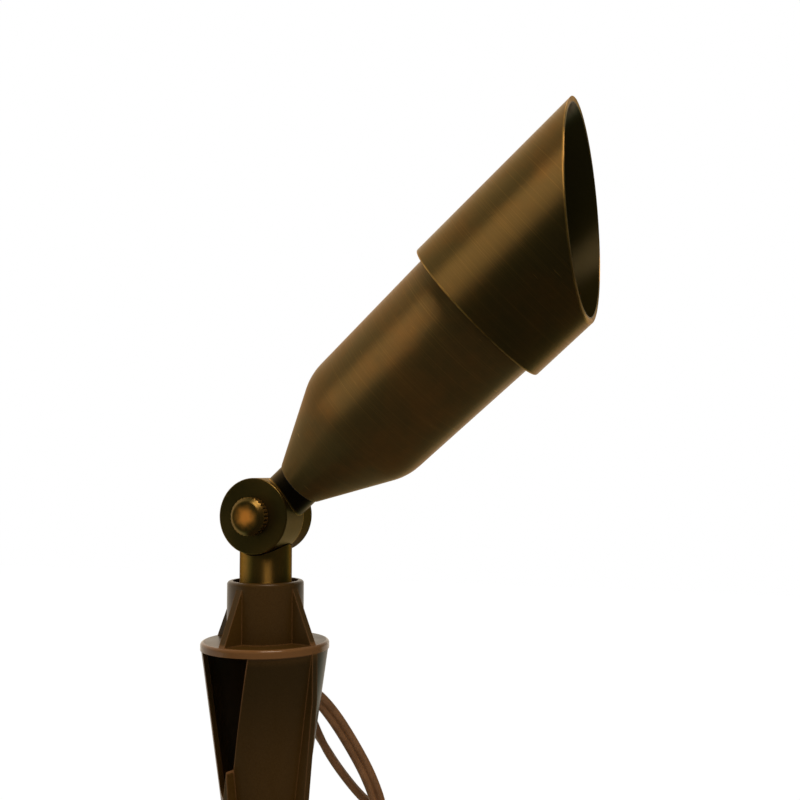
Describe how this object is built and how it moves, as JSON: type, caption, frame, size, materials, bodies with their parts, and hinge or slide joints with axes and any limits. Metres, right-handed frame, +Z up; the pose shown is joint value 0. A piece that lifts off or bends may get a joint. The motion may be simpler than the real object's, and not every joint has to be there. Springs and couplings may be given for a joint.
{
  "type": "garden spike spotlight",
  "caption": "Low-voltage garden spotlight: aged brass cylindrical head with an angled glare shroud, on a clamped knuckle and a finned plastic ground spike, with its supply lead.",
  "frame": {"origin": "middle of the underside of the spike's flange, at soil level, on the spike's axis", "axes": "+Z up along the spike and stem; the head leans from +Z towards +X; the thumb screw is on the -Y side"},
  "size_m": [0.1604, 0.1245, 0.4059],
  "materials": {
    "aged_brass": "aged to dark bronze, fine turning marks, satin",
    "screw_brass": "aged, polished by handling on the edges",
    "plain_brass": "machined",
    "pin_metal": "plated",
    "small_steel": "zinc plated",
    "plate_steel": "stamped sheet",
    "spike_plastic": "moulded, semi-gloss brown",
    "black_rubber": "matte",
    "silicone": "matte",
    "clear_glass": "clear, polished",
    "capsule_glass": "clear quartz",
    "reflector_mirror": "faceted mirror coat on glass",
    "ceramic": "white steatite ceramic",
    "cord_sheath": "flexible vinyl, satin brown-black",
    "lead_sleeve": "woven glass-fibre sleeve",
    "splice_nylon": "crimped nylon sleeve",
    "tie_plastic": "flat plastic band",
    "bare_copper": "tinned copper strands"
  },
  "bodies": {
    "spike": {"ground_spike": "spike_plastic", "cord_lead": "cord_sheath", "cord_coil": "cord_sheath", "cord_return": "cord_sheath", "cord_tie": "tie_plastic", "cord_ends": "bare_copper"},
    "stem": {"stem_knuckle": "aged_brass", "stem_grommet": "black_rubber", "stem_lead": "cord_sheath"},
    "thumb_screw": {"thumb_screw": "screw_brass"},
    "lens_unit": {"lens": "clear_glass", "lens_gasket": "silicone"},
    "shroud": {"shroud": "aged_brass"},
    "head": {"head_knuckle": "aged_brass", "housing": "aged_brass", "screw_washer": "screw_brass", "neck_locknut": "plain_brass", "lamp_pins": "pin_metal", "holder_contacts": "plain_brass", "holder_screws": "small_steel", "holder_posts": "small_steel", "holder_plate": "plate_steel", "knuckle_gasket": "black_rubber", "neck_gasket": "black_rubber", "collar_ring_rear": "black_rubber", "collar_ring_front": "black_rubber", "lamp_cover_glass": "clear_glass", "lamp_capsule": "capsule_glass", "lamp_reflector": "reflector_mirror", "lamp_base": "ceramic", "lamp_holder": "ceramic", "neck_lead": "cord_sheath", "holder_leads": "lead_sleeve", "lead_splices": "splice_nylon"}
  },
  "joints": [
    {"name": "stem_swivel", "type": "hinge", "parent": "spike", "child": "stem", "pos_m": [0, 0, 0.0173], "axis": [0, 0, 1], "range_deg": [-180, 180]},
    {"name": "head_tilt", "type": "hinge", "parent": "stem", "child": "head", "pos_m": [0, 0, 0.0537], "axis": [0, -1, 0], "range_deg": [-40.85, 139.15]},
    {"name": "thumb_screw_turn", "type": "hinge", "parent": "stem", "child": "thumb_screw", "pos_m": [0, 0, 0.0537], "axis": [0, -1, 0], "range_deg": [0, 360]},
    {"name": "shroud_pull", "type": "slide", "parent": "head", "child": "lens_unit", "axis": [0.7564, 0, 0.6541], "range_m": [0, 0.03]},
    {"name": "shroud_turn", "type": "hinge", "parent": "lens_unit", "child": "shroud", "pos_m": [0.09834, 0, 0.13873], "axis": [0.7564, 0, 0.6541], "continuous": true}
  ]
}
